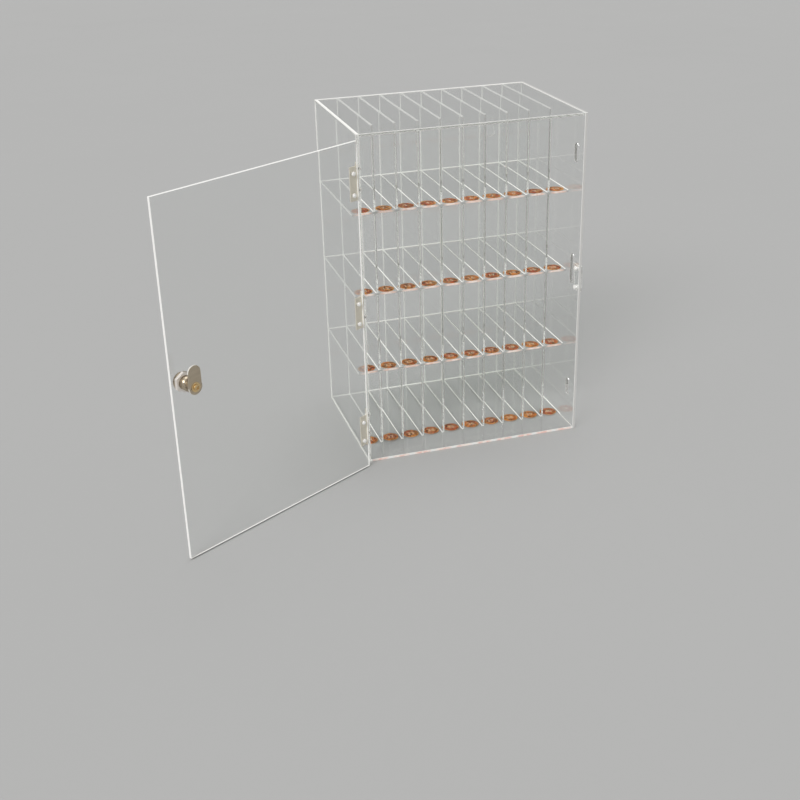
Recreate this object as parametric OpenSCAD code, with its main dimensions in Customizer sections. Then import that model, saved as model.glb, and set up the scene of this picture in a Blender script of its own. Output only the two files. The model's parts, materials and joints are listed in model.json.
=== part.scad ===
// Phone storage cabinet of clear sheet: a rack of ten by four cells, a side-hung door on three
// butt hinges and a cam lock whose tongue turns into a slot in the right side panel.
// Millimetres, Z up, X to the right, front at -Y, modelled with the door standing open.
// Origin: middle of the cabinet's footprint, on the surface that it stands on.

/* [Cabinet] */
// Outside width over the side panels
cab_w = 340; // [310:1:400]
// Outside height of the side panels
cab_h = 500; // [440:1:600]
// Depth of the side panels, front edge to back face
cab_d = 242; // [200:1:300]
// Thickness of the outer panels
panel_t = 4; // [3:0.5:5]

/* [Rack] */
// Free depth between the front edges of the side panels and the rack
front_bay = 48; // [46:1:70]
// Thickness of a shelf
shelf_t = 3; // [2:0.5:4]
// Thickness of a divider
divider_t = 3; // [2:0.5:4]
// Clearance on each face of a half-lap slot
lap_gap = 0.1; // [0.05:0.05:0.3]

/* [Number stickers] */
// Room between a sticker and the walls of its cell
sticker_side = 2.75; // [1:0.25:5]
// Room between a sticker and the front edge of its shelf
sticker_front = 1; // [0.5:0.25:8]
// Thickness of a sticker
sticker_t = 0.3; // [0.2:0.1:0.6]

/* [Door] */
// Thickness of the door
door_t = 4; // [3:0.5:5]
// Angle at which the door stands open
door_open = 150; // [0:1:240]
// Gap between the closed door and the front edges of the side panels
door_gap = 0.5; // [0.3:0.1:1]
// How far the door stays inside the cabinet's width at each side
door_side = 1; // [0.5:0.5:3]
// Height of the door's bottom edge above the ground
door_low = 2; // [1:0.5:8]
// Drop from the cabinet's top to the door's top edge
door_drop = 5; // [1:0.5:10]

/* [Hinges] */
// Height of a hinge
hinge_h = 48; // [40:1:64]
// Width of a leaf, from the pin's axis
leaf_w = 17; // [16:0.5:22]
// Thickness of a leaf
leaf_t = 1.2; // [0.8:0.1:1.6]
// Outer radius of a knuckle
knuckle_r = 2.5; // [2.2:0.1:3.5]
// Clearance between a knuckle and the other leaf
knuckle_gap = 0.4; // [0.3:0.1:0.8]
// Radius of a hinge pin
pin_r = 1.25; // [1:0.05:1.6]
// Running clearance round a pin
pin_gap = 0.05; // [0.03:0.01:0.1]
// Thickness of a pin's head
pin_head_t = 1; // [0.6:0.1:2]
// Distance of the outer hinges' middles from the cabinet's base and top
hinge_inset = 63; // [45:1:90]
// Distance of the leaf screws from the pin's axis
leaf_screw_inset = 12.75; // [12:0.25:14]
// Spacing of the two screws in a leaf
leaf_screw_pitch = 30; // [20:1:34]

/* [Hinge screws] */
// Radius of a leaf screw
leaf_screw_r = 1.5; // [1.25:0.05:1.5]
// Radius of a leaf screw's head
leaf_head_r = 2.8; // [2.2:0.1:3]
// Height of a leaf screw's head
leaf_head_t = 1.8; // [1:0.1:2]
// Width across flats of a leaf nut
leaf_nut_af = 5.5; // [5:0.1:6]
// Thickness of a leaf nut
leaf_nut_t = 2.4; // [1.6:0.1:2.4]
// How far a screw stands out of its nut, or a blind hole runs past its screw
screw_tail = 0.8; // [0.2:0.1:1.2]
// Clearance round a screw in its hole
screw_gap = 0.1; // [0.05:0.05:0.3]
// Clearance of a thread in its nut
thread_gap = 0.05; // [0.03:0.01:0.1]

/* [Lock] */
// Distance of the lock's axis from the door's free edge
lock_inset = 17; // [17:0.5:24]
// Height of the lock's axis above the cabinet's middle
lock_rise = 6; // [0:0.5:8]
// Radius of the threaded barrel
barrel_r = 9.4; // [8.5:0.1:10]
// Radius of the outer flange
flange_r = 11.5; // [11:0.1:13]
// Thickness of the outer flange
flange_t = 2.2; // [1.5:0.1:4]
// Width across flats of the barrel's nut
lock_nut_af = 24; // [22:0.5:25]
// Thickness of the barrel's nut
lock_nut_t = 5; // [3:0.5:6]
// Outer radius of the washer under that nut
lock_washer_r = 13; // [11.5:0.5:13.5]
// Thickness of that washer
lock_washer_t = 1; // [0.6:0.1:1.5]
// Radius of the plug that the key turns
plug_r = 6; // [5:0.1:6.5]
// Radius of the plug's head
plug_head_r = 7.2; // [6.8:0.1:8]
// Length of the plug's head
plug_head_l = 4.6; // [3:0.1:6]
// How far the plug's face stands out of the flange
plug_proud = 0.6; // [0.2:0.1:1.5]
// Running clearance round the plug
plug_gap = 0.06; // [0.03:0.01:0.1]
// Width of the keyway
keyway_w = 1.8; // [1:0.1:2.5]
// Height of the keyway
keyway_h = 8; // [6:0.5:10]
// Depth of the keyway
keyway_d = 16; // [8:1:20]
// Side of the plug's square tenon
tenon_a = 7; // [6:0.1:7.5]

/* [Cam] */
// Distance of the cam's middle plane behind the front edges of the side panels
cam_depth = 26; // [24:0.5:34]
// Thickness of the cam
cam_t = 2; // [1.5:0.1:3]
// Radius of the cam's hub
cam_hub_r = 10; // [8:0.1:10.5]
// Width of the cam's round-ended tongue
cam_w = 19; // [14:0.5:20]
// Reach of the tongue from the lock's axis
cam_reach = 29; // [26:0.5:34]
// Clearance between the turning cam and the end of the barrel
cam_gap = 0.3; // [0.2:0.1:0.6]
// Radius of the cam's screw
cam_screw_r = 2; // [1.5:0.1:2.3]
// Length of that screw in the plug
cam_screw_l = 9; // [6:0.5:12]
// Radius of that screw's head
cam_head_r = 4.2; // [3.4:0.1:5]
// Height of that screw's head
cam_head_t = 2.6; // [1.6:0.1:3]
// Outer radius of the washer on the cam
cam_washer_r = 6.5; // [5.5:0.1:7.5]
// Thickness of that washer
cam_washer_t = 1; // [0.6:0.1:1.5]

/* [Side slots and keeper] */
// Width of the slots in the right panel
slot_w = 11; // [8:0.5:12]
// Height of the upper and lower slots
slot_h = 28; // [22:1:40]
// Room between the turning tongue and the top of its slot
cam_slot_room = 1.5; // [1:0.1:4]
// Depth of the foot of the tongue's slot below the lock's axis
cam_slot_drop = 20; // [13:0.5:24]
// Width of the keeper plate, front to back
keeper_w = 18; // [12:0.5:20]
// Height of the keeper plate
keeper_h = 40; // [38:1:60]
// Thickness of the keeper plate
keeper_t = 2; // [2:0.5:5]
// Distance of the keeper plate from the panel's front edge
keeper_edge = 1; // [0:0.5:3]
// Height of the keeper's middle above the lock's axis
keeper_rise = -6; // [-8:0.5:8]
// Spacing of the keeper's two bolts
keeper_pitch = 30; // [28:1:34]
// Distance of those bolts from the panel's front edge
keeper_bolt_inset = 10; // [8:0.5:11]
// Radius of a keeper bolt
keeper_bolt_r = 2; // [1.5:0.1:2.2]
// Radius of a keeper bolt's head
keeper_head_r = 4; // [3.2:0.1:4.5]
// Height of a keeper bolt's head
keeper_head_t = 2.5; // [1.5:0.1:4]
// Width across flats of a keeper nut
keeper_nut_af = 7; // [6:0.1:8]
// Thickness of a keeper nut
keeper_nut_t = 2.6; // [1.6:0.1:2.6]

/* [Hang holes] */
// Distance of a hang hole from the nearer side of the cabinet
hang_inset = 52; // [35:1:90]
// Drop from the cabinet's top to the top of a hang hole
hang_drop = 51; // [30:1:90]
// Height of a hang hole
hang_h = 30; // [24:1:40]
// Radius of a hang hole's round entry
hang_entry_r = 7; // [5.5:0.5:9]
// Radius of a hang hole's neck
hang_neck_r = 4; // [2.5:0.5:5]

/* [Hidden] */
$fn = 64;

// Colours of the clear sheet, its bright fittings and the stickers
CLEAR = [0.86, 0.94, 0.96, 0.4];
STEEL = "silver";
NICKEL = [0.78, 0.76, 0.70];
ORANGE = [0.82, 0.40, 0.22];

// The rack's cells
ROWS = 4;
COLUMNS = 10;

// How far a cut runs past the face that it opens
cut = 1;

// Faces of the cabinet
x_out = cab_w / 2;
x_in = x_out - panel_t;
y_front = -cab_d / 2;
y_back = cab_d / 2;
y_back_in = y_back - panel_t;
z_mid = cab_h / 2;
z_top_in = cab_h - panel_t;

// The rack
rack_front = y_front + front_bay;
rack_mid = (rack_front + y_back_in) / 2;
cell_w = (2 * x_in - (COLUMNS - 1) * divider_t) / COLUMNS;
row_h = (z_top_in - panel_t - (ROWS - 1) * shelf_t) / ROWS;
sticker_r = cell_w / 2 - sticker_side;

// The closed door
door_in = y_front - door_gap;
door_out = door_in - door_t;
door_x = [door_side - x_out, x_out - door_side];
door_z = [door_low, cab_h - door_drop];

// The hinges, their axis and the heights of their middles
axis_x = -x_out - knuckle_r;
axis_y = door_out - knuckle_r;
knuckle_h = hinge_h / 3;
bore_r = pin_r + pin_gap;
lower_z = hinge_inset;
upper_z = cab_h - hinge_inset;
hinge_heights = [lower_z, z_mid, upper_z];
leaf_sides = [-leaf_screw_pitch / 2, leaf_screw_pitch / 2];
leaf_hole_r = leaf_screw_r + screw_gap;
frame_screw_l = leaf_t + panel_t + leaf_nut_t + screw_tail;
door_screw_l = leaf_t + door_t + leaf_nut_t + screw_tail;

// The lock, front to back along its axis
lock_x = door_x[1] - lock_inset;
lock_z = z_mid + lock_rise;
flange_front = door_out - flange_t;
plug_front = flange_front - plug_proud;
cam_mid = y_front + cam_depth;
cam_front = cam_mid - cam_t / 2;
cam_back = cam_mid + cam_t / 2;
barrel_end = cam_front - cam_gap;
head_seat = plug_front + plug_head_l + plug_gap;
tenon_end = cam_back - screw_gap;
tenon_hole_a = tenon_a + 2 * screw_gap;
cam_hole_l = cam_screw_l + screw_tail;

// The slot for the tongue: its top clears the circle on which the tongue's tip crosses the panel
slot_r = slot_w / 2;
lock_to_wall = x_in - lock_x;
tip_rise = sqrt(cam_reach * cam_reach - lock_to_wall * lock_to_wall);
cam_slot_top = lock_z + tip_rise + cam_slot_room;
cam_slot_low = lock_z - cam_slot_drop;

// The keeper and its bolts
keeper_z = lock_z + keeper_rise;
keeper_y = y_front + keeper_edge;
keeper_heights = [keeper_z - keeper_pitch / 2, keeper_z + keeper_pitch / 2];
keeper_bolt_y = y_front + keeper_bolt_inset;
keeper_hole_r = keeper_bolt_r + screw_gap;
keeper_bolt_l = keeper_t + panel_t + keeper_nut_t + screw_tail;

// The hang holes
hang_top = cab_h - hang_drop;
hang_entry_z = hang_top - hang_h + hang_entry_r;
hang_places = [hang_inset - x_out, x_out - hang_inset];

// Left face of a divider, underside of a shelf, middle of a cell and floor of a level of cells
function divider_x(i) = -x_in + i * cell_w + (i - 1) * divider_t;
function shelf_z(i) = panel_t + i * row_h + (i - 1) * shelf_t;
function cell_x(column) = -x_in + (column - 0.5) * cell_w + (column - 1) * divider_t;
function floor_z(level) = level == 0 ? panel_t : shelf_z(level) + shelf_t;

// A block between two limits on each axis
module slab(x, y, z) {
    translate([x[0], y[0], z[0]]) cube([x[1] - x[0], y[1] - y[0], z[1] - z[0]]);
}

// A part of the closed door, swung open about the hinge axis
module on_door() {
    translate([axis_x, axis_y, 0]) rotate([0, 0, -door_open]) translate([-axis_x, -axis_y, 0]) children();
}

// Directions of a part that is drawn along +Z: to the right, to the left and to the back
module along_right() { rotate([0, 90, 0]) children(); }
module along_left() { rotate([0, -90, 0]) children(); }
module along_back() { rotate([-90, 0, 0]) children(); }

// A part on the lock's axis that is drawn along +Z and starts at a depth
module on_lock(y) {
    translate([lock_x, y, lock_z]) along_back() children();
}

// A screw whose head sits on the plane of its own origin
module screw(r, l, head_r, head_t) {
    cylinder(r = r, h = l);
    translate([0, 0, -head_t]) cylinder(r = head_r, h = head_t);
}

// A hexagon nut with two flats square to X
module nut(af, hole_r, t) {
    difference() {
        rotate(30) cylinder(d = af / cos(30), h = t, $fn = 6);
        translate([0, 0, -cut]) cylinder(r = hole_r, h = t + 2 * cut);
    }
}

// A washer
module ring(r, hole_r, t) {
    difference() {
        cylinder(r = r, h = t);
        translate([0, 0, -cut]) cylinder(r = hole_r, h = t + 2 * cut);
    }
}

// A round cut along +Z through a sheet whose near face is the plane of the origin
module drill(r, t) {
    translate([0, 0, -cut]) cylinder(r = r, h = t + 2 * cut);
}

// An upright slot through the right panel between two heights
module side_slot(low, high) {
    slab([x_in - cut, x_out + cut], [cam_mid - slot_r, cam_mid + slot_r], [low + slot_r, high - slot_r]);
    for (z = [low + slot_r, high - slot_r])
        translate([x_in, cam_mid, z]) along_right() drill(slot_r, panel_t);
}

// A keyhole through the back panel: round entry below, neck above
module hang_hole(x) {
    neck_z = hang_top - hang_neck_r;
    translate([x, y_back_in, hang_entry_z]) along_back() drill(hang_entry_r, panel_t);
    translate([x, y_back_in, neck_z]) along_back() drill(hang_neck_r, panel_t);
    slab([x - hang_neck_r, x + hang_neck_r], [y_back_in - cut, y_back + cut], [hang_entry_z, neck_z]);
}

// Left side, drilled for the hinge leaves
module left_panel() {
    color(CLEAR) difference() {
        slab([-x_out, -x_in], [y_front, y_back], [0, cab_h]);
        for (z = hinge_heights, side = leaf_sides)
            translate([-x_out, axis_y + leaf_screw_inset, z + side]) along_right()
                drill(leaf_hole_r, panel_t);
    }
}

// Right side, with two plain slots, the slot for the tongue and the keeper's holes
module right_panel() {
    color(CLEAR) difference() {
        slab([x_in, x_out], [y_front, y_back], [0, cab_h]);
        for (z = [lower_z, upper_z]) side_slot(z - slot_h / 2, z + slot_h / 2);
        side_slot(cam_slot_low, cam_slot_top);
        for (z = keeper_heights)
            translate([x_in, keeper_bolt_y, z]) along_right() drill(keeper_hole_r, panel_t);
    }
}

// Back, between the sides
module back_panel() {
    color(CLEAR) difference() {
        slab([-x_in, x_in], [y_back_in, y_back], [0, cab_h]);
        for (x = hang_places) hang_hole(x);
    }
}

// Top, between the sides and in front of the back
module top_panel() {
    color(CLEAR) slab([-x_in, x_in], [y_front, y_back_in], [z_top_in, cab_h]);
}

// Bottom, between the sides and in front of the back
module bottom_panel() {
    color(CLEAR) slab([-x_in, x_in], [y_front, y_back_in], [0, panel_t]);
}

// A shelf, slotted from its back edge to half its depth for the dividers
module shelf(level) {
    z = shelf_z(level);
    color(CLEAR) difference() {
        slab([-x_in, x_in], [rack_front, y_back_in], [z, z + shelf_t]);
        for (i = [1 : COLUMNS - 1])
            slab([divider_x(i) - lap_gap, divider_x(i) + divider_t + lap_gap], [rack_mid, y_back_in + cut],
                [z - cut, z + shelf_t + cut]);
    }
}

// An upright divider, slotted from its front edge to half its depth for the shelves
module divider(i) {
    x = divider_x(i);
    color(CLEAR) difference() {
        slab([x, x + divider_t], [rack_front, y_back_in], [panel_t, z_top_in]);
        for (level = [1 : ROWS - 1])
            slab([x - cut, x + divider_t + cut], [rack_front - cut, rack_mid],
                [shelf_z(level) - lap_gap, shelf_z(level) + shelf_t + lap_gap]);
    }
}

// A round sticker at the front of each cell of a row, counted from the top
module number_stickers(row) {
    y = rack_front + sticker_front + sticker_r;
    color(ORANGE) for (column = [1 : COLUMNS])
        translate([cell_x(column), y, floor_z(ROWS - row)]) cylinder(r = sticker_r, h = sticker_t);
}

// A hinge leaf in its own frame: pin along Z, leaf along X, mounting face towards +Y. Its knuckles
// are every second one of three, starting at the given one.
module leaf(first) {
    difference() {
        union() {
            slab([0, leaf_w], [knuckle_r - leaf_t, knuckle_r], [-hinge_h / 2, hinge_h / 2]);
            cylinder(r = knuckle_r, h = hinge_h, center = true);
        }
        for (k = [1 - first : 2 : 2]) knuckle_notch(k);
        cylinder(r = bore_r, h = hinge_h + 2 * cut, center = true);
        for (side = leaf_sides)
            translate([leaf_screw_inset, knuckle_r - leaf_t, side]) along_back() drill(leaf_hole_r, leaf_t);
    }
}

// Room in a leaf for the other leaf's knuckle, counted from the bottom
module knuckle_notch(k) {
    reach = knuckle_r + knuckle_gap;
    low = k == 0 ? -hinge_h / 2 - cut : -hinge_h / 2 + k * knuckle_h - knuckle_gap / 2;
    high = k == 2 ? hinge_h / 2 + cut : -hinge_h / 2 + (k + 1) * knuckle_h + knuckle_gap / 2;
    slab([-reach, reach], [-reach, reach], [low, high]);
}

// The leaf on the left panel, with the outer two knuckles
module frame_leaf(z) {
    color(STEEL) translate([axis_x, axis_y, z]) mirror([1, -1, 0]) leaf(0);
}

// The leaf on the door, with the middle knuckle
module door_leaf(z) {
    color(STEEL) on_door() translate([axis_x, axis_y, z]) leaf(1);
}

// A hinge pin with a head at each end
module hinge_pin(z) {
    color(STEEL) translate([axis_x, axis_y, z]) {
        cylinder(r = pin_r, h = hinge_h, center = true);
        translate([0, 0, hinge_h / 2]) cylinder(r = knuckle_r, h = pin_head_t);
        translate([0, 0, -hinge_h / 2 - pin_head_t]) cylinder(r = knuckle_r, h = pin_head_t);
    }
}

// The screws of the leaves on the left panel
module frame_leaf_screws() {
    color(STEEL) for (z = hinge_heights, side = leaf_sides)
        translate([-x_out - leaf_t, axis_y + leaf_screw_inset, z + side]) along_right()
            screw(leaf_screw_r, frame_screw_l, leaf_head_r, leaf_head_t);
}

// Their nuts, inside the cabinet
module frame_leaf_nuts() {
    color(STEEL) for (z = hinge_heights, side = leaf_sides)
        translate([-x_in, axis_y + leaf_screw_inset, z + side]) along_right()
            nut(leaf_nut_af, leaf_screw_r + thread_gap, leaf_nut_t);
}

// Clear plate that doubles the right panel in front of the tongue's slot
module keeper_plate() {
    color(CLEAR) difference() {
        slab([x_out, x_out + keeper_t], [keeper_y, keeper_y + keeper_w],
            [keeper_z - keeper_h / 2, keeper_z + keeper_h / 2]);
        for (z = keeper_heights)
            translate([x_out, keeper_bolt_y, z]) along_right() drill(keeper_hole_r, keeper_t);
    }
}

// Bolts through the keeper and the panel, heads outside
module keeper_bolts() {
    color(STEEL) for (z = keeper_heights)
        translate([x_out + keeper_t, keeper_bolt_y, z]) along_left()
            screw(keeper_bolt_r, keeper_bolt_l, keeper_head_r, keeper_head_t);
}

// Their nuts, inside the cabinet
module keeper_nuts() {
    color(STEEL) for (z = keeper_heights)
        translate([x_in, keeper_bolt_y, z]) along_left()
            nut(keeper_nut_af, keeper_bolt_r + thread_gap, keeper_nut_t);
}

// The door, drilled for the lock and the hinge leaves
module door_panel() {
    color(CLEAR) on_door() difference() {
        slab(door_x, [door_out, door_in], door_z);
        on_lock(door_out) drill(barrel_r + screw_gap, door_t);
        for (z = hinge_heights, side = leaf_sides)
            translate([axis_x + leaf_screw_inset, door_out, z + side]) along_back()
                drill(leaf_hole_r, door_t);
    }
}

// The screws of the leaves on the door
module door_leaf_screws() {
    color(STEEL) on_door() for (z = hinge_heights, side = leaf_sides)
        translate([axis_x + leaf_screw_inset, door_out - leaf_t, z + side]) along_back()
            screw(leaf_screw_r, door_screw_l, leaf_head_r, leaf_head_t);
}

// Their nuts, on the inside of the door
module door_leaf_nuts() {
    color(STEEL) on_door() for (z = hinge_heights, side = leaf_sides)
        translate([axis_x + leaf_screw_inset, door_in, z + side]) along_back()
            nut(leaf_nut_af, leaf_screw_r + thread_gap, leaf_nut_t);
}

// Lock housing: outer flange and barrel, bored for the plug and its head
module lock_housing() {
    color(NICKEL) on_door() difference() {
        union() {
            on_lock(flange_front) cylinder(r = flange_r, h = flange_t);
            on_lock(door_out) cylinder(r = barrel_r, h = barrel_end - door_out);
        }
        on_lock(flange_front) drill(plug_r + plug_gap, barrel_end - flange_front);
        on_lock(flange_front - cut) cylinder(r = plug_head_r + plug_gap, h = head_seat - flange_front + cut);
    }
}

// Washer on the inside of the door
module lock_washer() {
    color(NICKEL) on_door() on_lock(door_in) ring(lock_washer_r, barrel_r + screw_gap, lock_washer_t);
}

// Hexagon nut that clamps the housing to the door
module lock_nut() {
    color(NICKEL) on_door() on_lock(door_in + lock_washer_t)
        nut(lock_nut_af, barrel_r + thread_gap, lock_nut_t);
}

// Plug with its head, keyway, square tenon and screw hole
module lock_plug() {
    color(NICKEL) on_door() difference() {
        union() {
            on_lock(plug_front) cylinder(r = plug_head_r, h = plug_head_l);
            on_lock(plug_front) cylinder(r = plug_r, h = cam_front - plug_front);
            slab([lock_x - tenon_a / 2, lock_x + tenon_a / 2], [cam_front, tenon_end],
                [lock_z - tenon_a / 2, lock_z + tenon_a / 2]);
        }
        slab([lock_x - keyway_w / 2, lock_x + keyway_w / 2], [plug_front - cut, plug_front + keyway_d],
            [lock_z - keyway_h / 2, lock_z + keyway_h / 2]);
        on_lock(cam_back - cam_hole_l) cylinder(r = cam_screw_r + thread_gap, h = cam_hole_l);
    }
}

// Outline of the cam, tongue up
module cam_outline() {
    half = cam_w / 2;
    difference() {
        union() {
            circle(r = cam_hub_r);
            translate([-half, 0]) square([cam_w, cam_reach - half]);
            translate([0, cam_reach - half]) circle(r = half);
        }
        square(tenon_hole_a, center = true);
    }
}

// Cam on the plug's tenon
module cam() {
    color(NICKEL) on_door() translate([lock_x, cam_back, lock_z]) rotate([90, 0, 0])
        linear_extrude(cam_t) cam_outline();
}

// Washer that clamps the cam
module cam_washer() {
    color(STEEL) on_door() on_lock(cam_back) ring(cam_washer_r, cam_screw_r + screw_gap, cam_washer_t);
}

// Screw into the end of the plug
module cam_screw() {
    color(STEEL) on_door() translate([lock_x, cam_back + cam_washer_t, lock_z]) rotate([90, 0, 0])
        screw(cam_screw_r, cam_washer_t + cam_screw_l, cam_head_r, cam_head_t);
}

left_panel();
right_panel();
back_panel();
top_panel();
bottom_panel();
shelf(1);  // shelf_lower
shelf(2);  // shelf_middle
shelf(3);  // shelf_upper
divider(1);  // divider_1
divider(2);  // divider_2
divider(3);  // divider_3
divider(4);  // divider_4
divider(5);  // divider_5
divider(6);  // divider_6
divider(7);  // divider_7
divider(8);  // divider_8
divider(9);  // divider_9
number_stickers(1);  // number_stickers_row_1
number_stickers(2);  // number_stickers_row_2
number_stickers(3);  // number_stickers_row_3
number_stickers(4);  // number_stickers_row_4
frame_leaf(lower_z);  // hinge_lower_frame_leaf
frame_leaf(z_mid);  // hinge_middle_frame_leaf
frame_leaf(upper_z);  // hinge_upper_frame_leaf
hinge_pin(lower_z);  // hinge_lower_pin
hinge_pin(z_mid);  // hinge_middle_pin
hinge_pin(upper_z);  // hinge_upper_pin
frame_leaf_screws();
frame_leaf_nuts();
keeper_plate();
keeper_bolts();
keeper_nuts();
door_panel();
door_leaf(lower_z);  // hinge_lower_door_leaf
door_leaf(z_mid);  // hinge_middle_door_leaf
door_leaf(upper_z);  // hinge_upper_door_leaf
door_leaf_screws();
door_leaf_nuts();
lock_housing();
lock_washer();
lock_nut();
lock_plug();
cam();
cam_washer();
cam_screw();
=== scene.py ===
"""Looks of the phone storage cabinet: a clear rack of cells, a side-hung door and a cam lock.

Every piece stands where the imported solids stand, in metres: X to the right, front at -Y, Z up.
"""

import json
import logging
import math
from abc import ABC, abstractmethod
from dataclasses import dataclass, field
from enum import Enum
from typing import Any, Optional, Sequence

import bmesh
import bpy
from mathutils import Matrix, Vector

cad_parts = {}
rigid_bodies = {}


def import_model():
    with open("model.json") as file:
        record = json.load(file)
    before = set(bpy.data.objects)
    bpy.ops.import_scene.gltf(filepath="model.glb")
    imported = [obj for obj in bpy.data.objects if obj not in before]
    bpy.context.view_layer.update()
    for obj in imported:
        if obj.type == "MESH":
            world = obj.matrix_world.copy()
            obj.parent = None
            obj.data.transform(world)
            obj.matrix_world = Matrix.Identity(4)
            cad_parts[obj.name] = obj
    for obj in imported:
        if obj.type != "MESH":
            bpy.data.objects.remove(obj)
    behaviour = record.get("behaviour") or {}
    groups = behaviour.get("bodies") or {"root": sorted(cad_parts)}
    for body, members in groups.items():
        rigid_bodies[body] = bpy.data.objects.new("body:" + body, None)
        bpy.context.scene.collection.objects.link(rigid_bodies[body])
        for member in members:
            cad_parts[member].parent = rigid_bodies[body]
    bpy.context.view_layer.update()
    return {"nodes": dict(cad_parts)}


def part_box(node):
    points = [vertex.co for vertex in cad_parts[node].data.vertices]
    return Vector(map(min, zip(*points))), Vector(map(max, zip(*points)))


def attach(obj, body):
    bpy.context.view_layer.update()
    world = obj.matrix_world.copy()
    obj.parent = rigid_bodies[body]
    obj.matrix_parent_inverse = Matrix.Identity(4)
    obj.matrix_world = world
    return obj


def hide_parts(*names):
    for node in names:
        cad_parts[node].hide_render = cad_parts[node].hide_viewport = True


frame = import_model()
LOG = logging.getLogger("phone_cabinet")
MM = 0.001
WELD = 1e-6
ACROSS, FRONT, UP = Vector((1, 0, 0)), Vector((0, -1, 0)), Vector((0, 0, 1))
Socket = bpy.types.NodeSocket
Triple = tuple[float, float, float]
Pair = tuple[float, float]
Outline = tuple[Pair, ...]


class Body(Enum):
    """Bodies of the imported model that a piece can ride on."""

    CABINET = "cabinet"
    DOOR = "door"
    PLUG = "lock_plug"


class Slot(Enum):
    """Material slots of the record that a piece takes its finish from."""

    SHEET = "clear_sheet"
    HINGE = "hinge_steel"
    LOCK = "lock_nickel"
    FASTENER = "fastener_steel"
    STICKER = "sticker"


class Heading(Enum):
    """Turns, as Euler angles, that point a screw's tip along one axis of the closed cabinet."""

    RIGHT = (0.0, math.pi / 2, 0.0)
    LEFT = (0.0, -math.pi / 2, 0.0)
    BACK = (-math.pi / 2, 0.0, 0.0)
    AHEAD = (math.pi / 2, 0.0, 0.0)


def opaque(colour: Triple) -> tuple[float, float, float, float]:
    """A colour with full alpha."""
    return (*colour, 1.0)


class NodeWeb:
    """Adds and joins the nodes of one tree."""

    def __init__(self, tree: bpy.types.NodeTree) -> None:
        """Keeps the tree that the nodes go into."""
        self.tree = tree

    def add(self, kind: str, inputs: Optional[dict[Any, Any]] = None, **settings: Any) -> bpy.types.Node:
        """Adds a node.

        Args:
            kind: Blender's name of the node type.
            inputs: what goes into its sockets, by name or number: a socket, a list of sockets or a value.
            settings: properties of the node.

        Returns:
            The new node.
        """
        node = self.tree.nodes.new(kind)
        for name, value in settings.items():
            setattr(node, name, value)
        for key, value in (inputs or {}).items():
            for source in value if isinstance(value, list) else [value]:
                if isinstance(source, Socket):
                    self.tree.links.new(source, node.inputs[key])
                else:
                    node.inputs[key].default_value = source
        return node

    def get(self, kind: str, inputs: Optional[dict[Any, Any]] = None, **settings: Any) -> Socket:
        """Adds a node as add does, and gives its first output."""
        return self.add(kind, inputs, **settings).outputs[0]

    def maths(self, operation: str, *values: Any, clamp: bool = False) -> Socket:
        """Does a sum with sockets or plain numbers, kept between 0 and 1 if clamped."""
        return self.get("ShaderNodeMath", dict(enumerate(values)), operation=operation, use_clamp=clamp)

    def times(self, first: Any, second: Any) -> Socket:
        """Multiplies two numbers."""
        return self.maths("MULTIPLY", first, second)

    def stretch(self, vector: Any, shares: Any) -> Socket:
        """Multiplies two vectors, axis by axis."""
        return self.get("ShaderNodeVectorMath", {0: vector, 1: shares}, operation="MULTIPLY")

    def axis(self, vector: Socket, number: int) -> Socket:
        """One axis of a vector."""
        return self.add("ShaderNodeSeparateXYZ", {0: vector}).outputs[number]

    def vector(self, x: Any = 0.0, y: Any = 0.0, z: Any = 0.0) -> Socket:
        """Puts a vector together."""
        return self.get("ShaderNodeCombineXYZ", {0: x, 1: y, 2: z})

    def blend(self, share: Any, low: Any, high: Any) -> Socket:
        """Mixes two colours, each a socket or a triple, by the share of the second."""
        ends = [colour if isinstance(colour, Socket) else opaque(colour) for colour in (low, high)]
        return self.add("ShaderNodeMix", {0: share, 6: ends[0], 7: ends[1]}, data_type="RGBA").outputs[2]

    def span(self, value: Any, low: float, high: float) -> Socket:
        """Spreads 0 to 1 over a range."""
        return self.get("ShaderNodeMapRange", {"Value": value, "To Min": low, "To Max": high})

    def cut(self, value: Any, low: float, high: float) -> Socket:
        """Sharpens a value: 0 at the low mark and 1 at the high one."""
        return self.get("ShaderNodeMapRange", {"Value": value, "From Min": low, "From Max": high})

    def noise(self, vector: Any, scale: Any, detail: float) -> Socket:
        """Adds a noise texture."""
        return self.get("ShaderNodeTexNoise", {"Vector": vector, "Scale": scale, "Detail": detail})

    def bump(self, height: Socket, strength: float, depth: float) -> Socket:
        """Turns a height into a normal."""
        return self.get("ShaderNodeBump", {"Height": height, "Strength": strength, "Distance": depth})

    def coat(self, colour: Socket, roughness: Socket, others: Optional[dict[str, Any]] = None) -> Socket:
        """Adds a Principled shader with its colour, its roughness and any other inputs by name."""
        inputs = {"Base Color": colour, "Roughness": roughness, **(others or {})}
        return self.get("ShaderNodeBsdfPrincipled", inputs)


@dataclass(frozen=True)
class Mottle:
    """Noise that can be sharpened into patches."""

    scale: float
    detail: float
    low: float = 0.0
    high: float = 1.0

    def noise(self, web: NodeWeb, place: Socket, fineness: Optional[Socket] = None) -> Socket:
        """The noise itself, with its scale multiplied where a fineness is given."""
        scale = self.scale if fineness is None else web.times(fineness, self.scale)
        return web.noise(place, scale, self.detail)

    def patches(self, web: NodeWeb, place: Socket, fineness: Optional[Socket] = None) -> Socket:
        """The patches: 0 below the low mark and 1 above the high one."""
        return web.cut(self.noise(web, place, fineness), self.low, self.high)


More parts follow.
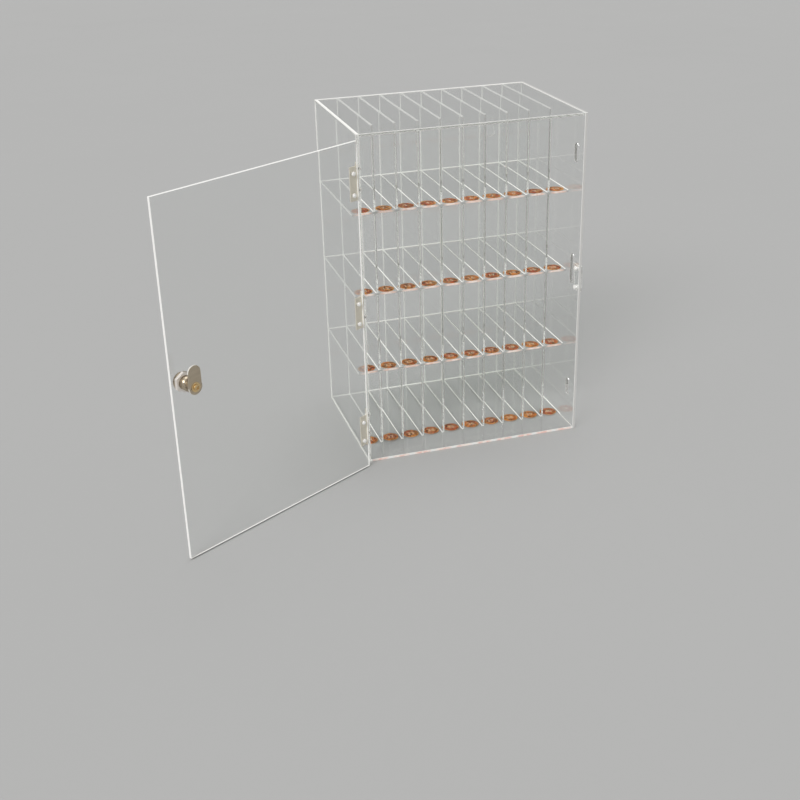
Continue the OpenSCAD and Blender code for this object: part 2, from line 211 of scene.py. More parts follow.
SMUDGES, HAIRLINES, WAVES = Mottle(1.0, 4.0, 0.48, 0.75), Mottle(4.0, 2.0, 0.62, 0.70), Mottle(0.6, 1.0)
DRAWN_LINES, CLOUDS = Mottle(1.0, 4.0), Mottle(0.08, 2.0)
WIPE_STRETCH = (9.0, 9.0, 0.6)
SMUDGE_SHARE, HAIRLINE_SHARE = 0.65, 0.35
LINE_SHARE, CLOUD_SHARE = 0.7, 0.3


class Effect(Enum):
    """Shader groups that several finishes share."""

    HANDLING = "handling_marks"
    GRAIN = "drawn_grain"

    def group(self) -> bpy.types.NodeTree:
        """Builds the group the first time it is asked for.

        Returns:
            The group's tree.
        """
        found = bpy.data.node_groups.get(self.value)
        if found:
            return found
        tree = bpy.data.node_groups.new(self.value, "ShaderNodeTree")
        inputs = {"Vector": "NodeSocketVector", "Scale": "NodeSocketFloat"}
        if self is Effect.GRAIN:
            inputs["Stretch"] = "NodeSocketVector"
        for name, kind in inputs.items():
            tree.interface.new_socket(name, in_out="INPUT", socket_type=kind)
        for name in ("Tone", "Height"):
            tree.interface.new_socket(name, in_out="OUTPUT", socket_type="NodeSocketFloat")
        web = NodeWeb(tree)
        draw = self._handling if self is Effect.HANDLING else self._grain
        tone, height = draw(web, web.add("NodeGroupInput").outputs)
        web.add("NodeGroupOutput", {"Tone": tone, "Height": height})
        return tree

    @staticmethod
    def _handling(web: NodeWeb, entry: Any) -> tuple[Socket, Socket]:
        """Smudges and hairline wipes of a sheet that is handled.

        Args:
            web: the group's nodes.
            entry: the group's inputs.

        Returns:
            The haze, from 0 to 1, and the sheet's slow waviness.
        """
        place, scale = entry["Vector"], entry["Scale"]
        smudges = web.times(SMUDGES.patches(web, place, scale), SMUDGE_SHARE)
        hairlines = HAIRLINES.patches(web, web.stretch(place, WIPE_STRETCH), scale)
        haze = web.maths("MULTIPLY_ADD", hairlines, HAIRLINE_SHARE, smudges, clamp=True)
        return haze, WAVES.noise(web, place, scale)

    @staticmethod
    def _grain(web: NodeWeb, entry: Any) -> tuple[Socket, Socket]:
        """Fine lines along one direction, as a saw, a roller or a brush leaves them.

        Args:
            web: the group's nodes.
            entry: the group's inputs.

        Returns:
            The tone, from 0 to 1, and the height of the lines.
        """
        place, scale = entry["Vector"], entry["Scale"]
        lines = DRAWN_LINES.noise(web, web.stretch(place, entry["Stretch"]), scale)
        clouds = web.times(CLOUDS.noise(web, place, scale), CLOUD_SHARE)
        return web.maths("MULTIPLY_ADD", lines, LINE_SHARE, clouds, clamp=True), lines


@dataclass(frozen=True)
class Finish(ABC):
    """A finish that one or more pieces wear."""

    name: str

    def material(self) -> bpy.types.Material:
        """Builds the material the first time it is asked for.

        Returns:
            The finish's material.
        """
        found = bpy.data.materials.get(self.name)
        if found:
            return found
        made = bpy.data.materials.new(self.name)
        made.use_nodes = True
        made.node_tree.nodes.clear()
        web = NodeWeb(made.node_tree)
        place = web.add("ShaderNodeTexCoord").outputs["Object"]
        web.add("ShaderNodeOutputMaterial", {"Surface": self.surface(web, place)})
        return made

    @abstractmethod
    def surface(self, web: NodeWeb, place: Socket) -> Socket:
        """Builds the finish's shader.

        Args:
            web: the material's nodes.
            place: Object coordinates.

        Returns:
            The shader socket.
        """

    @staticmethod
    def effect(web: NodeWeb, effect: Effect, **inputs: Any) -> Any:
        """Places a shared group with the inputs named, and gives its outputs."""
        return web.add("ShaderNodeGroup", inputs, node_tree=effect.group()).outputs


@dataclass(frozen=True)
class ClearSheet(Finish):
    """Polished face of cast acrylic, with faint smudges and a slow waviness."""

    tint: Triple = (0.978, 0.982, 0.978)
    deep_tint: Triple = (0.966, 0.973, 0.968)
    shade: Triple = (0.985, 0.988, 0.985)
    haze: float = 0.05
    marks_scale: float = 9.0
    wave: Pair = (0.6, 0.00004)
    refraction: float = 1.49

    def surface(self, web: NodeWeb, place: Socket) -> Socket:
        """Glass that lets lamp light and scattered light straight through, with a light tint.

        Args:
            web: the material's nodes.
            place: Object coordinates.

        Returns:
            The shader socket.
        """
        marks = self.effect(web, Effect.HANDLING, Vector=place, Scale=self.marks_scale)
        tint = web.blend(marks["Height"], self.tint, self.deep_tint)
        wave = web.bump(marks["Height"], *self.wave)
        clearness = {"IOR": self.refraction, "Transmission Weight": 1.0, "Normal": wave}
        glass = web.coat(tint, web.span(marks["Tone"], 0.0, self.haze), clearness)
        path = web.add("ShaderNodeLightPath").outputs
        through = web.maths("MAXIMUM", path["Is Shadow Ray"], path["Is Diffuse Ray"])
        clear = web.get("ShaderNodeBsdfTransparent", {"Color": opaque(self.shade)})
        return web.get("ShaderNodeMixShader", {0: through, 1: glass, 2: clear})


@dataclass(frozen=True)
class SawnEdge(Finish):
    """Cut edge of the sheet: milky, bright, with fine saw lines."""

    light: Triple = (0.95, 0.945, 0.92)
    dim: Triple = (0.86, 0.855, 0.825)
    gloss: Pair = (0.5, 0.8)
    saw_scale: float = 90.0
    saw_stretch: Triple = (6.0, 6.0, 1.0)
    saw_relief: Pair = (0.35, 0.0002)

    def surface(self, web: NodeWeb, place: Socket) -> Socket:
        """A matt cream white, as bright from inside the sheet as from outside.

        Args:
            web: the material's nodes.
            place: Object coordinates.

        Returns:
            The shader socket.
        """
        saw = self.effect(web, Effect.GRAIN, Vector=place, Scale=self.saw_scale, Stretch=self.saw_stretch)
        colour = self.colour(web, place, saw["Tone"])
        dull = {"Specular IOR Level": 0.0, "Normal": web.bump(saw["Height"], *self.saw_relief)}
        return web.coat(colour, web.span(saw["Tone"], *self.gloss), dull)

    def colour(self, web: NodeWeb, place: Socket, tone: Socket) -> Socket:
        """Mixes the edge's two tones by the saw's marks."""
        return web.blend(tone, self.dim, self.light)


@dataclass(frozen=True)
class BlushedEdge(SawnEdge):
    """Front edge with a painted reflection of the stickers' backs, whose colour a clear sheet would carry
    forward to its edge.
    """

    # Colour of the painted reflection of the stickers, and of its painted highlights in patches.
    blush: Triple = (0.93, 0.60, 0.50)
    glow: Triple = (0.99, 0.86, 0.78)
    strength: float = 0.8
    first: float = -150.75 * MM
    pitch: float = 33.5 * MM
    reach: Pair = (14.5 * MM, 8.0 * MM)
    mottle: Mottle = Mottle(170.0, 1.0, 0.42, 0.60)

    def colour(self, web: NodeWeb, place: Socket, tone: Socket) -> Socket:
        """Paints the stickers' reflection as a stripe below each sticker, with painted highlights in
        patches, over the sawn edge's own colour.

        Args:
            web: the material's nodes.
            place: Object coordinates.
            tone: the saw's marks, from 0 to 1.

        Returns:
            The colour socket.
        """
        along = web.maths("SUBTRACT", web.axis(place, 0), self.first)
        # A stripe below each sticker, one sticker pitch apart, where the painted reflection lies.
        reflection_band = web.cut(web.maths("PINGPONG", along, self.pitch / 2), *self.reach)
        # Painted reflection of the stickers, lighter in patches as painted highlights.
        painted_reflection = web.blend(self.mottle.patches(web, place), self.blush, self.glow)
        return web.blend(web.times(reflection_band, self.strength), super().colour(web, place, tone), painted_reflection)


@dataclass(frozen=True)
class Metal(Finish):
    """A plated or rolled metal with drawn grain."""

    light: Triple
    dim: Triple
    gloss: Pair
    metallic: float = 1.0
    stretch: Triple = (1.0, 1.0, 14.0)
    grain_scale: float = 60.0
    grain_relief: Pair = (0.4, 0.00005)
    wear_scale: float = 55.0
    wear: float = 0.12

    def surface(self, web: NodeWeb, place: Socket) -> Socket:
        """Metal whose grain shows in its colour, its gloss and its relief.

        Args:
            web: the material's nodes.
            place: Object coordinates.

        Returns:
            The shader socket.
        """
        grain = self.effect(web, Effect.GRAIN, Vector=place, Scale=self.grain_scale, Stretch=self.stretch)
        worn = self.effect(web, Effect.HANDLING, Vector=place, Scale=self.wear_scale)["Tone"]
        colour = web.blend(grain["Tone"], self.dim, self.light)
        gloss = web.maths("MULTIPLY_ADD", worn, self.wear, web.span(grain["Tone"], *self.gloss))
        relief = web.bump(grain["Height"], *self.grain_relief)
        return web.coat(colour, gloss, {"Metallic": self.metallic, "Normal": relief})


@dataclass(frozen=True)
class StickerPrint(Finish):
    """Printed paper: a dark disc with warm blots and a rim line, and a pale back, lightened as painted light
    that passes through the paper.
    """

    ground: Triple = (0.085, 0.026, 0.014)
    red: Triple = (0.40, 0.065, 0.030)
    orange: Triple = (0.56, 0.17, 0.030)
    gold: Triple = (0.62, 0.36, 0.12)
    # Colour of the sticker's back: pale paper, made lighter as painted light that passes through the paper
    # from above.
    glued: Triple = (0.95, 0.78, 0.69)
    hues: Mottle = Mottle(31.0, 0.0, 0.40, 0.60)
    blots: Mottle = Mottle(300.0, 2.0, 0.46, 0.54)
    specks: Mottle = Mottle(430.0, 2.0, 0.56, 0.61)
    rim: Pair = (0.93, 0.03)
    rim_strength: float = 0.75
    gloss: Pair = (0.35, 0.6)
    sheen: float = 0.25
    radius: float = 12.5 * MM
    thickness: float = 0.3 * MM
    bare_share: float = 0.3

    def surface(self, web: NodeWeb, place: Socket) -> Socket:
        """Ink on paper, by the distance from the sticker's middle, and bare paper below, lightened as
        painted light through the paper.

        Args:
            web: the material's nodes.
            place: Object coordinates.

        Returns:
            The shader socket.
        """
        disc = web.add("ShaderNodeAttribute", attribute_name="disc").outputs["Vector"]
        out = web.add("ShaderNodeVectorMath", {0: disc}, operation="LENGTH").outputs[1]
        rim = web.maths("COMPARE", web.maths("DIVIDE", out, self.radius), *self.rim)
        warm = web.blend(self.hues.patches(web, place), self.red, self.orange)
        ink = web.blend(self.blots.patches(web, place), self.ground, warm)
        ink = web.blend(self.specks.patches(web, place), ink, self.gold)
        ink = web.blend(web.times(rim, self.rim_strength), ink, self.gold)
        below = web.maths("LESS_THAN", web.axis(disc, 2), self.bare_share * self.thickness)
        gloss = web.span(self.blots.noise(web, place), *self.gloss)
        # The underside wears the pale back, lightened as painted light through the paper.
        return web.coat(web.blend(below, ink, self.glued), gloss, {"Specular IOR Level": self.sheen})


@dataclass(frozen=True)
class MottledPaint(Finish):
    """Paint or ink of two close tones."""

    light: Triple
    dim: Triple
    gloss: Pair
    scale: float

    def surface(self, web: NodeWeb, place: Socket) -> Socket:
        """A plain colour with a little mottle.

        Args:
            web: the material's nodes.
            place: Object coordinates.

        Returns:
            The shader socket.
        """
        marks = self.effect(web, Effect.HANDLING, Vector=place, Scale=self.scale)
        colour = web.blend(marks["Height"], self.dim, self.light)
        return web.coat(colour, web.span(marks["Tone"], *self.gloss))


CLEAR = ClearSheet("clear_acrylic")
POLISHED = ClearSheet("polished_acrylic_edge", tint=(0.60, 0.61, 0.605), deep_tint=(0.55, 0.56, 0.555))
DEEP_POLISHED = ClearSheet("deep_polished_edge", tint=(0.46, 0.47, 0.465), deep_tint=(0.40, 0.41, 0.405))
EDGE = SawnEdge("sawn_acrylic_edge")
SCRAPED = SawnEdge("scraped_acrylic_edge", (0.66, 0.655, 0.635), (0.56, 0.555, 0.535))
# Front edges of the bottom panel and the shelves, with a painted reflection of the stickers above them.
BOTTOM_FRONT = BlushedEdge("bottom_edge_painted_reflection", blush=(0.90, 0.52, 0.44), strength=0.75)
SHELF_FRONT = BlushedEdge(
    "shelf_edge_painted_reflection", (0.47, 0.475, 0.465), (0.41, 0.415, 0.405), blush=(0.92, 0.66, 0.56), strength=0.9
)
HINGE_STEEL = Metal("pressed_hinge_steel", (0.88, 0.82, 0.70), (0.66, 0.61, 0.51), (0.30, 0.50), 0.35)
FASTENER_STEEL = Metal("bright_fastener_steel", (0.98, 0.97, 0.95), (0.92, 0.91, 0.88), (0.20, 0.34), 0.2)
LOCK_NICKEL = Metal(
    "lock_nickel_plate", (0.66, 0.57, 0.45), (0.44, 0.37, 0.27), (0.20, 0.36), stretch=(1.0, 1.0, 4.0)
)
NUT_NICKEL = Metal("lock_nut_nickel", (0.95, 0.90, 0.85), (0.80, 0.75, 0.70), (0.22, 0.38), 0.45)
# The cam's edges: partly bare sheared steel, partly a painted highlight that stands in for light caught on
# the rim.
CAM_RIM_SHEARED_AND_HIGHLIGHTED = Metal("cam_edge_sheared_with_painted_highlight", (0.97, 0.95, 0.89), (0.86, 0.83, 0.76), (0.24, 0.40), 0.4)
SCREW_BRASS = Metal("cam_screw_brass", (0.88, 0.69, 0.40), (0.66, 0.46, 0.22), (0.16, 0.30))
PAPER = StickerPrint("sticker_print")
DIGIT = MottledPaint("sticker_number_ink", (0.80, 0.68, 0.50), (0.58, 0.42, 0.26), (0.35, 0.5), 300.0)
FLOOR = MottledPaint("studio_floor", (0.425, 0.425, 0.420), (0.415, 0.415, 0.410), (0.65, 0.8), 2.0)


def placed(name: str, mesh: bpy.types.Mesh) -> bpy.types.Object:
    """Links a mesh to the scene as an object at the origin.

    Args:
        name: the object's name.
        mesh: its mesh.

    Returns:
        The object.
    """
    thing = bpy.data.objects.new(name, mesh)
    bpy.context.scene.collection.objects.link(thing)
    return thing


def poured(work: bmesh.types.BMesh, name: str, *finishes: Finish) -> bpy.types.Mesh:
    """Turns a shape that is being worked on into a mesh.

    Args:
        work: the shape, which is freed.
        name: the mesh's name.
        finishes: what it wears.

    Returns:
        The mesh.
    """
    mesh = bpy.data.meshes.new(name)
    work.to_mesh(mesh)
    work.free()
    for finish in finishes:
        mesh.materials.append(finish.material())
    return mesh


def settled(thing: bpy.types.Object) -> bpy.types.Mesh:
    """What an object comes to once its text or its modifiers are worked out, as a plain mesh."""
    graph = bpy.context.evaluated_depsgraph_get()
    return bpy.data.meshes.new_from_object(thing.evaluated_get(graph), depsgraph=graph)


def soften(mesh: bpy.types.Mesh, angle: float = 35.0) -> None:
    """Shades a mesh smooth apart from its sharp edges.

    Args:
        mesh: the mesh.
        angle: the turn between faces, in degrees, past which an edge is sharp.
    """
    work = bmesh.new()
    work.from_mesh(mesh)
    for face in work.faces:
        face.smooth = True
    for edge in work.edges:
        edge.smooth = len(edge.link_faces) == 2 and edge.calc_face_angle(0.0) < math.radians(angle)
    work.to_mesh(mesh)
    work.free()


class GeoTree:
    """A Geometry Nodes tree with named inputs, which makes one mesh."""

    def __init__(self, name: str, **inputs: Sequence[str]) -> None:
        """Starts the tree.

        Args:
            name: the tree's name.
            inputs: the names of its inputs, by Blender's word for their kind, such as Float.
        """
        self.tree = bpy.data.node_groups.new(name, "GeometryNodeTree")
        socket = self.tree.interface.new_socket
        socket("Geometry", in_out="INPUT", socket_type="NodeSocketGeometry")
        self.ids = {
            key: socket(key, in_out="INPUT", socket_type="NodeSocket" + kind).identifier
            for kind, keys in inputs.items()
            for key in keys
        }
        socket("Geometry", in_out="OUTPUT", socket_type="NodeSocketGeometry")
        self.web = NodeWeb(self.tree)
        self.entry = self.web.add("NodeGroupInput").outputs

    def close(self, instances: Socket) -> None:
        """Ends the tree in Realize Instances and Set Material."""
        real = self.web.get("GeometryNodeRealizeInstances", {0: instances})
        self.web.add("NodeGroupOutput", {0: self.wear(real, "Finish")})

    def wear(self, mesh: Socket, finish: str, chosen: Any = True) -> Socket:
        """Gives the chosen faces the finish that an input names."""
        inputs = {"Geometry": mesh, "Selection": chosen, "Material": self.entry[finish]}
        return self.web.get("GeometryNodeSetMaterial", inputs)

    def carve(self, operation: str, inputs: dict[str, Any]) -> Socket:
        """Adds an exact boolean."""
        return self.web.get("GeometryNodeMeshBoolean", inputs, operation=operation, solver="EXACT")

    def wrap(self, sides: int, rows: int) -> tuple[Socket, Socket, Socket]:
        """Adds a grid that is to be bent round an axis.

        Args:
            sides: facets round the axis.
            rows: points along each facet.

        Returns:
            The grid, and the row and the column of each point.
        """
        web = self.web
        grid = web.get("GeometryNodeMeshGrid", {"Vertices X": sides + 1, "Vertices Y": rows})
        index = web.get("GeometryNodeInputIndex")
        row = web.maths("MODULO", index, float(rows))
        return grid, row, web.maths("FLOOR", web.maths("DIVIDE", index, float(rows)))

    def bend(self, grid: Socket, place: Socket) -> Socket:
        """Moves a grid's points to their places and merges those that meet."""
        bent = self.web.get("GeometryNodeSetPosition", {"Geometry": grid, "Position": place})
        return self.web.get("GeometryNodeMergeByDistance", {"Geometry": bent, "Distance": WELD})

    def polar(self, out: Socket, turn: Socket, height: Socket) -> Socket:
        """A point by its distance from the Z axis, its turn about it and its height."""
        sine, cosine = (self.web.maths(name, turn) for name in ("SINE", "COSINE"))
        return self.web.vector(self.web.times(out, cosine), self.web.times(out, sine), height)

    def choose(self, number: Socket, choices: Sequence[Triple]) -> Socket:
        """Picks a vector by its number.

        Args:
            number: which one, from 0.
            choices: the vectors.

        Returns:
            The vector that is picked.
        """
        picker = self.web.add("GeometryNodeIndexSwitch", {"Index": number}, data_type="VECTOR")
        for _ in choices[2:]:
            picker.index_switch_items.new()
        for i, choice in enumerate(choices):
            picker.inputs[i + 1].default_value = choice
        return picker.outputs[0]

    def lathe(self, outline: Outline, radius: Any, height: Any, sides: int) -> Socket:
        """Turns an outline about Z.

        Args:
            outline: (radius, height) of each point as shares, from the axis round and back to the axis.
            radius: what a share of 1 is across.
            height: what a share of 1 is along Z.
            sides: facets round the axis.

        Returns:
            The closed mesh.
        """
        web = self.web
        grid, row, column = self.wrap(sides, len(outline))
        share = self.choose(row, [(across, 0.0, along) for across, along in outline])
        out = web.times(web.axis(share, 0), radius)
        turn = web.times(column, math.tau / sides)
        return self.bend(grid, self.polar(out, turn, web.times(web.axis(share, 2), height)))

    def prism(self, outline: Outline, size: Any, length: Any) -> Socket:
        """Draws an outline out along +Z, with closed ends.

        Args:
            outline: (x, y) of each corner as shares, anticlockwise.
            size: what a share of 1 is across.
            length: how far it goes.

        Returns:
            The closed mesh.
        """
        web, sides = self.web, len(outline)
        # Of the four rows, the two in the middle are rings and the outer two close the ends.
        rows, halfway, near = 4, 1.5, 0.6
        grid, row, column = self.wrap(sides, rows)
        corner = self.choose(web.maths("MODULO", column, float(sides)), [(x, y, 0.0) for x, y in outline])
        middle = tuple(sum(axis) / sides for axis in zip(*outline))
        ring = web.maths("COMPARE", row, halfway, near)
        ends = {0: ring, 4: (*middle, 0.0), 5: corner}
        share = web.add("ShaderNodeMix", ends, data_type="VECTOR").outputs[1]
        across = web.get("ShaderNodeVectorMath", {0: share, "Scale": size}, operation="SCALE")
        rise = web.vector(z=web.times(web.maths("GREATER_THAN", row, halfway), length))
        return self.bend(grid, web.get("ShaderNodeVectorMath", {0: across, 1: rise}, operation="ADD"))

    def strew(
        self, instance: Socket, turn: Optional[Socket] = None, points: Optional[Socket] = None
    ) -> Socket:
        """Places a shape on each point.

        Args:
            instance: the shape.
            turn: its rotation, if any.
            points: the points, or else the tree's own geometry.

        Returns:
            The instances.
        """
        inputs = {"Points": points or self.entry["Geometry"], "Instance": instance}
        if turn:
            inputs["Rotation"] = turn
        return self.web.get("GeometryNodeInstanceOnPoints", inputs)

    def rotation(self, angles: Any) -> Socket:
        """A rotation from Euler angles."""
        return self.web.get("FunctionNodeEulerToRotation", {0: angles})

    def grow(
        self, name: str, values: dict[str, Any], points: Sequence[Vector] = (), arris: float = 0.0
    ) -> bpy.types.Object:
        """Runs the tree and keeps what it makes as a plain mesh.

        Args:
            name: the new object's name.
            values: the named inputs.
            points: the points that the shapes stand on.
            arris: width of the bevel on sharp edges, which wears the last material.

        Returns:
            The object, at the origin.
        """
        seed = bpy.data.meshes.new(name + "_points")
        seed.from_pydata([tuple(point) for point in points], [], [])
        for value in values.values():
            if isinstance(value, bpy.types.Material):
                seed.materials.append(value)
        maker = placed(name + "_maker", seed)
        modifier = maker.modifiers.new("shape", "NODES")
        modifier.node_group = self.tree
        for key, value in values.items():
            modifier[self.ids[key]] = value
        if arris:
            bevel = maker.modifiers.new("arris", "BEVEL")
            bevel.width, bevel.segments, bevel.limit_method = arris, 1, "ANGLE"
            bevel.material = len(seed.materials) - 1
        mesh = settled(maker)
        mesh.name = name
        maker.modifiers.clear()
        bpy.data.objects.remove(maker)
        bpy.data.meshes.remove(seed)
        return placed(name, mesh)


@dataclass
class Copied:
    """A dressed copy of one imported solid, with scraped arrises and, on a sheet, wider rims round holes."""

    node: str
    arris: float
    shrink: float = 0.0
    polished_front: bool = False
    rim: float = 1.3 * MM
    sharp: float = math.radians(50)
    flat: float = math.radians(0.5)
    square: float = 0.9
    sunk: float = 0.1 * MM

    def mesh(self, finishes: Sequence[Finish]) -> bpy.types.Mesh:
        """Copies the solid, merges its corners and rounds its sharp edges.

        Args:
            finishes: the finish of the faces, and for a sheet of its arrises, polished and sawn edges.

        Returns:
            The new mesh.
        """
        work = bmesh.new()
        work.from_mesh(frame["nodes"][self.node].data)
        bmesh.ops.remove_doubles(work, verts=work.verts, dist=WELD)
        bmesh.ops.dissolve_limit(work, angle_limit=self.flat, verts=work.verts, edges=work.edges)
        work.normal_update()
        if self.shrink:
            moves = [(vert, vert.normal * vert.calc_shell_factor() * self.shrink) for vert in work.verts]
            for vert, move in moves:
                vert.co -= move
        holes = self._sort_faces(work) if len(finishes) > 1 else set()
        for within, width in ((True, self.rim), (False, self.arris)):
            edges = [
                edge
                for edge in work.edges
                if edge.is_manifold
                and edge.calc_face_angle(0.0) > self.sharp
                and any(face in holes for face in edge.link_faces) is within
            ]
            made = bmesh.ops.bevel(
                work,
                geom=edges,
                offset=width,
                offset_type="OFFSET",
                segments=1,
                profile=0.5,
                affect="EDGES",
                clamp_overlap=True,
                material=min(1, len(finishes) - 1),
            )
            if within:
                holes |= set(made["faces"])
        mesh = poured(work, self.node, *finishes)
        soften(mesh)
        return mesh

    def _sort_faces(self, work: bmesh.types.BMesh) -> set[bmesh.types.BMFace]:
        """Gives faces and holes the first finish, polished edges the third and sawn edges the last.

        Args:
            work: the sheet.

        Returns:
            The walls of the sheet's holes.
        """
        holes = set()
        broad = max(work.faces, key=lambda face: face.calc_area()).normal.copy()
        for face in work.faces:
            way = face.normal
            depth = max(vert.co.dot(way) for vert in work.verts) - face.calc_center_median().dot(way)
            bright = self.polished_front and way.dot(FRONT) > self.square
            face.material_index = 2 if bright else 3
            if depth > self.sunk or abs(way.dot(broad)) > self.square:
                face.material_index = 0
            if depth > self.sunk:
                holes.add(face)
        return holes


@dataclass
class Piece:
    """A visible object, the body it rides on and what it stands for."""

    thing: bpy.types.Object
    body: Body
    slot: Slot
    nodes: tuple[str, ...]

    def settle(self) -> None:
        """Rides the piece on its body, in place of its solids."""
        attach(self.thing, self.body.value)
        if self.nodes:
            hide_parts(*self.nodes)


@dataclass
class SubAssembly(ABC):
    """A group of pieces that is made and dressed together."""

    pieces: list[Piece] = field(default_factory=list, init=False)

    @abstractmethod
    def build(self) -> None:
        """Makes the pieces' meshes."""

    def dress(self) -> None:
        """Settles each piece on its body."""
        for piece in self.pieces:
            piece.settle()

    def keep(self, thing: bpy.types.Object, body: Body, slot: Slot, *nodes: str) -> None:
        """Adds a piece with its body, the record's slot and the solids it stands for."""
        self.pieces.append(Piece(thing, body, slot, nodes))

    def copy(self, source: Copied, body: Body, slot: Slot, *finishes: Finish) -> None:
        """Adds a dressed copy of one solid, with the finishes of its faces and edges."""
        self.keep(placed("dressed_" + source.node, source.mesh(finishes)), body, slot, source.node)


@dataclass(frozen=True)
class DoorSwing:
    """How the door stands open about the hinge axis."""

    axis: Pair = (-172.5 * MM, -128.0 * MM)
    angle: float = 150.0

    def carry(self, thing: bpy.types.Object) -> bpy.types.Object:
        """Moves an object's mesh from the closed door to the open one.

        Args:
            thing: the object.

        Returns:
            The same object.
        """
        pivot = Matrix.Translation((*self.axis, 0.0))
        turn = Matrix.Rotation(math.radians(-self.angle), 4, "Z")
        thing.data.transform(pivot @ turn @ pivot.inverted())
        return thing


@dataclass
class Carcass(SubAssembly):
    """The five outer panels, the door's sheet and the keeper plate."""

    arris: float = 0.35 * MM
    gap: float = 0.03 * MM

    def build(self) -> None:
        """Copies each sheet with scraped edges and a hairline of air at each joint."""
        sheet = (CLEAR, EDGE, DEEP_POLISHED, EDGE)
        for node, body, polished_front, finishes in (
            ("left_panel", Body.CABINET, True, sheet),
            ("top_panel", Body.CABINET, True, sheet),
            ("keeper_plate", Body.CABINET, True, sheet),
            ("back_panel", Body.CABINET, False, sheet),
            ("bottom_panel", Body.CABINET, True, (CLEAR, EDGE, BOTTOM_FRONT, EDGE)),
            ("right_panel", Body.CABINET, False, (CLEAR, EDGE, DEEP_POLISHED, SCRAPED)),
            ("door_panel", Body.DOOR, False, sheet),
        ):
            self.copy(Copied(node, self.arris, self.gap, polished_front), body, Slot.SHEET, *finishes)


@dataclass
class Rack(SubAssembly):
    """The half-lapped shelves and dividers."""

    arris: float = 0.25 * MM
    gap: float = 0.03 * MM
    slot_room: float = 0.1 * MM
    overrun: float = 2 * MM
    square: float = 0.9
    shelves: tuple[str, ...] = ("shelf_lower", "shelf_middle", "shelf_upper")
    dividers: tuple[str, ...] = tuple(f"divider_{i}" for i in range(1, 10))

    def tree(self) -> GeoTree:
        """Builds the nodes of a row of equal sheets, each slotted from one edge.

        Returns:
            The tree.
        """
        geo = GeoTree(
            "slotted_sheets",
            Vector=(
                *("Sheet Size", "Sheet Middle", "Sheet Step"),
                *("Slot Size", "First Slot", "Slot Step", "Face"),
            ),
            Int=("Sheet Count", "Slot Count"),
            Material=("Finish", "Front Finish", "Edge Finish"),
        )
        web, entry = geo.web, geo.entry
        board = web.get("GeometryNodeMeshCube", {"Size": entry["Sheet Size"]})
        board = web.get("GeometryNodeTransform", {"Geometry": board, "Translation": entry["Sheet Middle"]})
        cutter = web.get("GeometryNodeMeshCube", {"Size": entry["Slot Size"]})
        row = {"Count": entry["Slot Count"], "Offset": entry["Slot Step"]}
        row["Start Location"] = entry["First Slot"]
        cuts = geo.strew(cutter, points=web.get("GeometryNodeMeshLine", row))
        cuts = web.get("GeometryNodeRealizeInstances", {0: cuts})
        comb = geo.carve("DIFFERENCE", {"Mesh 1": board, "Mesh 2": cuts})
        row = {"Count": entry["Sheet Count"], "Offset": entry["Sheet Step"]}
        sheets = geo.strew(comb, points=web.get("GeometryNodeMeshLine", row))
        normal = web.get("GeometryNodeInputNormal")
        facing, ahead = (
            web.add("ShaderNodeVectorMath", {0: normal, 1: way}, operation="DOT_PRODUCT").outputs["Value"]
            for way in (entry["Face"], FRONT)
        )
        front = web.maths("GREATER_THAN", ahead, self.square)
        sides = web.maths("MAXIMUM", web.maths("ABSOLUTE", facing), ahead)
        sawn = web.maths("LESS_THAN", sides, self.square)
        dressed = geo.wear(web.get("GeometryNodeRealizeInstances", {0: sheets}), "Finish")
        dressed = geo.wear(dressed, "Front Finish", front)
        web.add("NodeGroupOutput", {0: geo.wear(dressed, "Edge Finish", sawn)})
        return geo

    def build(self) -> None:
        """Makes the shelves and the dividers from the solids' own boxes."""
        geo = self.tree()
        shelf, above = (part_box(name) for name in self.shelves[:2])
        wall, beside = (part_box(name) for name in self.dividers[:2])
        rise, stride = above[0] - shelf[0], beside[0] - wall[0]
        wall_t, shelf_t = wall[1].x - wall[0].x, shelf[1].z - shelf[0].z
        lap = (shelf[0].y + shelf[1].y) / 2
        crossing = Vector(((wall[0].x + wall[1].x) / 2, lap, (shelf[0].z + shelf[1].z) / 2))
        snug, past = 2 * self.slot_room, self.overrun
        shelf_slot = Vector((wall_t + snug, shelf[1].y + past - lap, shelf_t + past))
        wall_slot = Vector((wall_t + past, lap + past - wall[0].y, shelf_t + snug))
        for name, nodes, box, step, face, front, slot, shift, slot_step, crossed in (
            ("rack_shelves", self.shelves, shelf, rise, UP, SHELF_FRONT,
             shelf_slot, shelf_slot.y / 2, stride, self.dividers),
            ("rack_dividers", self.dividers, wall, stride, ACROSS, POLISHED,
             wall_slot, -wall_slot.y / 2, rise, self.shelves),
        ):
            values = {
                "Sheet Size": box[1] - box[0] - Vector((1, 1, 1)) * 2 * self.gap,
                "Sheet Middle": (box[0] + box[1]) / 2,
                "Sheet Step": step,
                "Sheet Count": len(nodes),
                "Slot Size": slot,
                "First Slot": crossing + Vector((0, shift, 0)),
                "Slot Step": slot_step,
                "Slot Count": len(crossed),
                "Face": face,
                "Front Finish": front.material(),
                "Finish": CLEAR.material(),
                "Edge Finish": EDGE.material(),
            }
            made = geo.grow(name, values, arris=self.arris)
            soften(made.data)
            self.keep(made, Body.CABINET, Slot.SHEET, *nodes)


